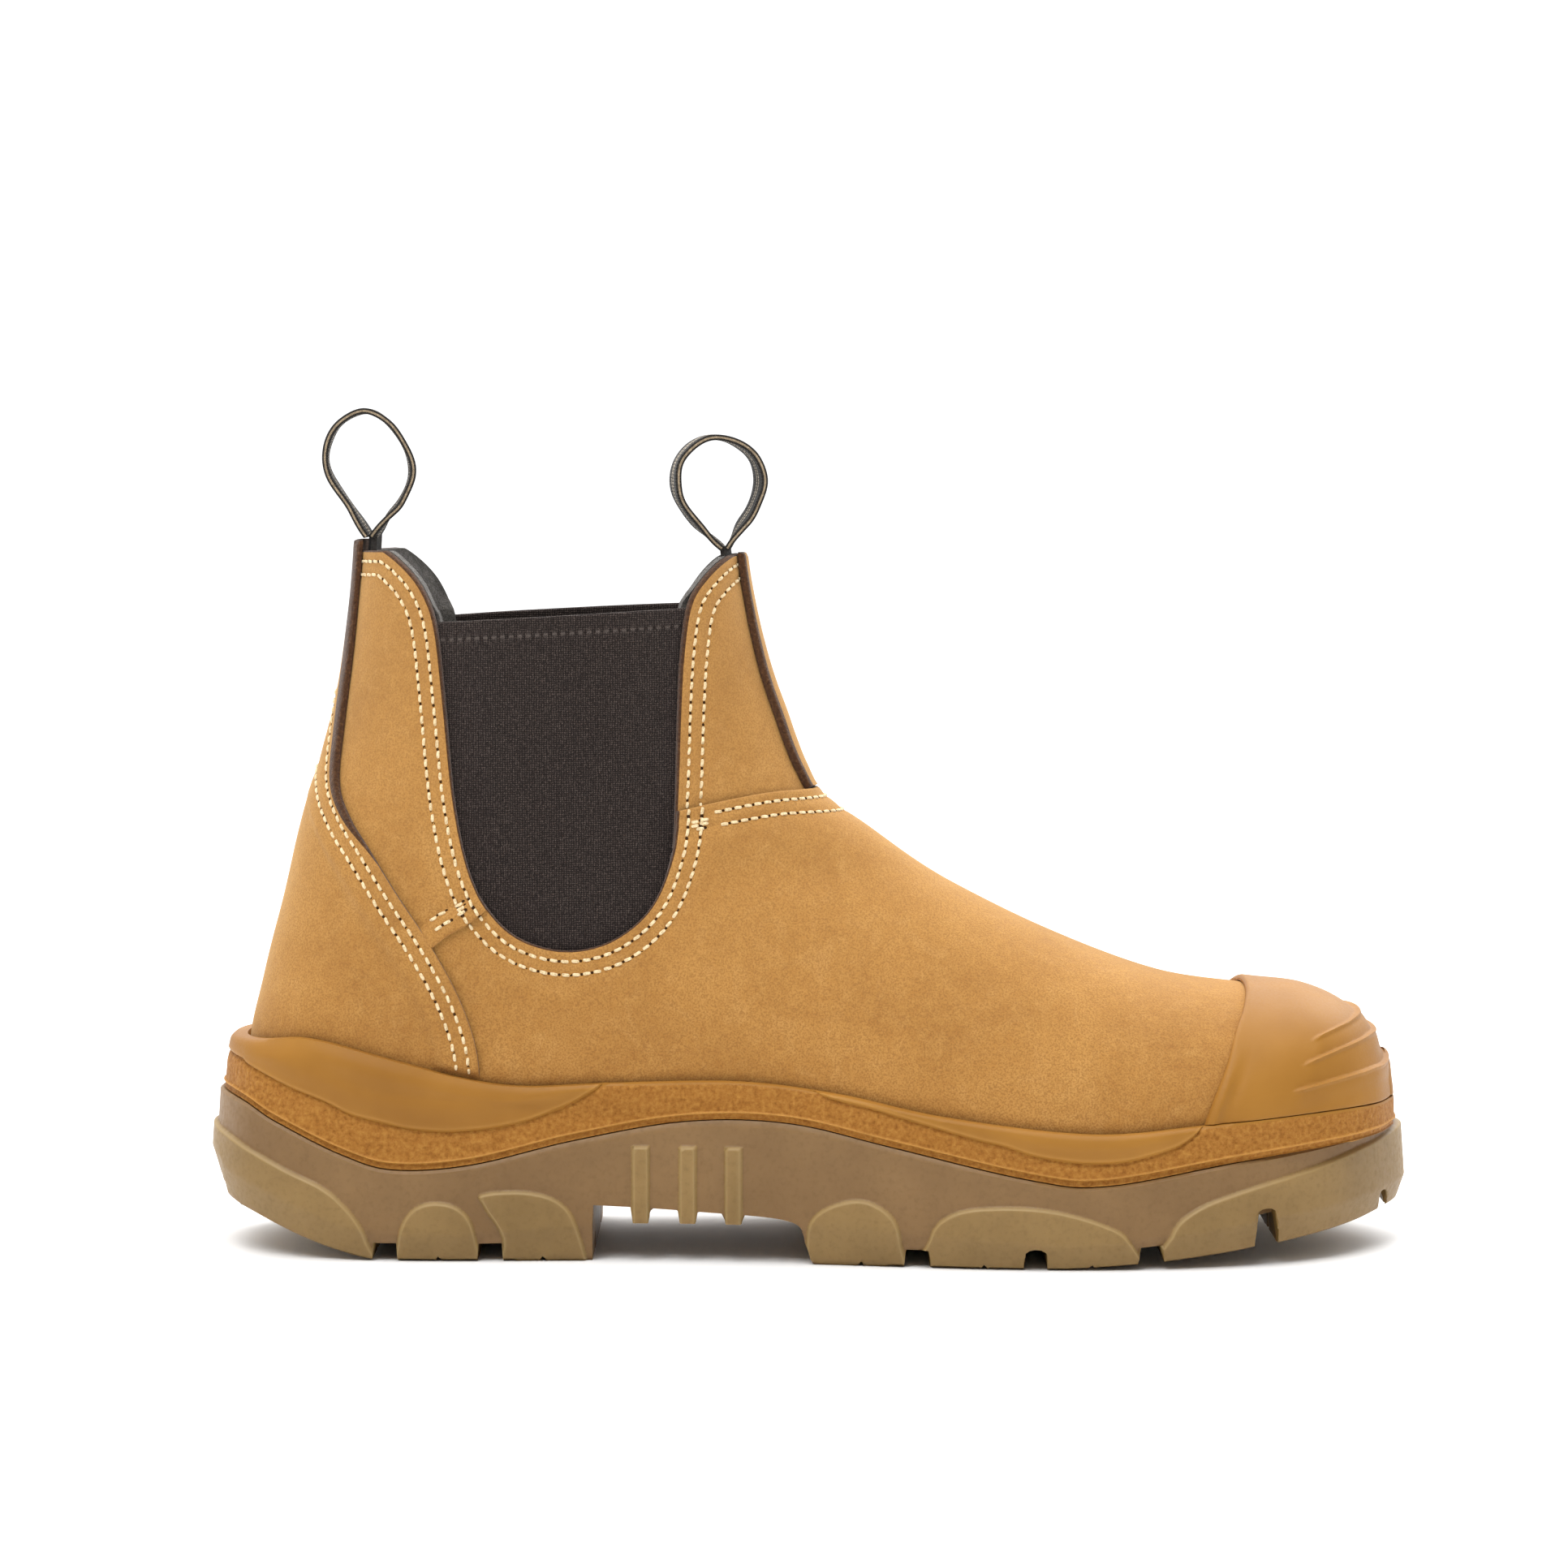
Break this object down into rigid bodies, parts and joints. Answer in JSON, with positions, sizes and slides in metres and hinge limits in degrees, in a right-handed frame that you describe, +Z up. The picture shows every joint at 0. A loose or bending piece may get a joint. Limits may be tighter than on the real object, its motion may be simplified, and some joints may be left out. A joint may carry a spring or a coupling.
{
  "type": "steel toe work boot",
  "caption": "Elastic-sided nubuck work boot with steel toe cap, moulded bump cap, lugged outsole and two pull loops.",
  "frame": {"origin": "middle of the boot's footprint on the floor", "axes": "+X to the toe, +Y to the inner (medial) side of a right boot, +Z up"},
  "size_m": [0.3124, 0.1124, 0.217],
  "materials": {
    "nubuck": "matte nubuck, wheat colour",
    "polyurethane": "moulded satin polyurethane, wheat colour",
    "outsole_rubber": "slightly translucent khaki outsole",
    "elastic": "dark brown ribbed elastic",
    "webbing": "black webbing with a cream centre line",
    "lining": "grey brushed textile",
    "board": "pressed fibre board",
    "footbed_foam": "textile-topped foam",
    "steel": "pressed steel",
    "stiffener": "moulded counter board",
    "rubber_strip": "soft black rubber",
    "thread": "cream sewing thread"
  },
  "bodies": {
    "boot": {"outsole": "outsole_rubber", "midsole": "polyurethane", "shank": "steel", "insole_board": "board", "steel_toe_cap": "steel", "toe_cap_edge_strip": "rubber_strip", "bump_cap": "polyurethane", "counter_stiffener": "stiffener", "vamp": "nubuck", "heel_counter_cover": "nubuck", "front_stay": "nubuck", "front_panel_lateral": "nubuck", "front_panel_medial": "nubuck", "back_quarter_lateral": "nubuck", "back_quarter_medial": "nubuck", "elastic_gusset_lateral": "elastic", "elastic_gusset_medial": "elastic", "vamp_lining": "lining", "front_lining": "lining", "rear_lining": "lining", "loop_tail_rear": "webbing", "loop_tail_front": "webbing", "collar_stitch_inner_lateral": "thread", "collar_stitch_outer_lateral": "thread", "collar_stitch_inner_medial": "thread", "collar_stitch_outer_medial": "thread", "counter_stitch_inner_lateral": "thread", "counter_stitch_outer_lateral": "thread", "counter_stitch_inner_medial": "thread", "counter_stitch_outer_medial": "thread", "throat_stitch_upper": "thread", "throat_stitch_lower": "thread"},
    "rear_loop": {"pull_loop_rear": "webbing"},
    "front_loop": {"pull_loop_front": "webbing"},
    "footbed": {"footbed": "footbed_foam", "heel_cushion": "rubber_strip"}
  },
  "joints": [
    {"name": "rear_loop_bend", "type": "hinge", "parent": "boot", "child": "rear_loop", "pos_m": [-0.1138, 0.0003, 0.1852], "axis": [0, 1, 0], "range_deg": [-50, 50], "stiffness_Nm_per_rad": 0.008},
    {"name": "front_loop_bend", "type": "hinge", "parent": "boot", "child": "front_loop", "pos_m": [-0.0218, 0.0003, 0.1821], "axis": [0, 1, 0], "range_deg": [-45, 50], "stiffness_Nm_per_rad": 0.008},
    {"name": "footbed_lift", "type": "hinge", "parent": "boot", "child": "footbed", "pos_m": [0.143, 0.0003, 0.0312], "axis": [0, 1, 0], "range_deg": [0, 5]}
  ]
}
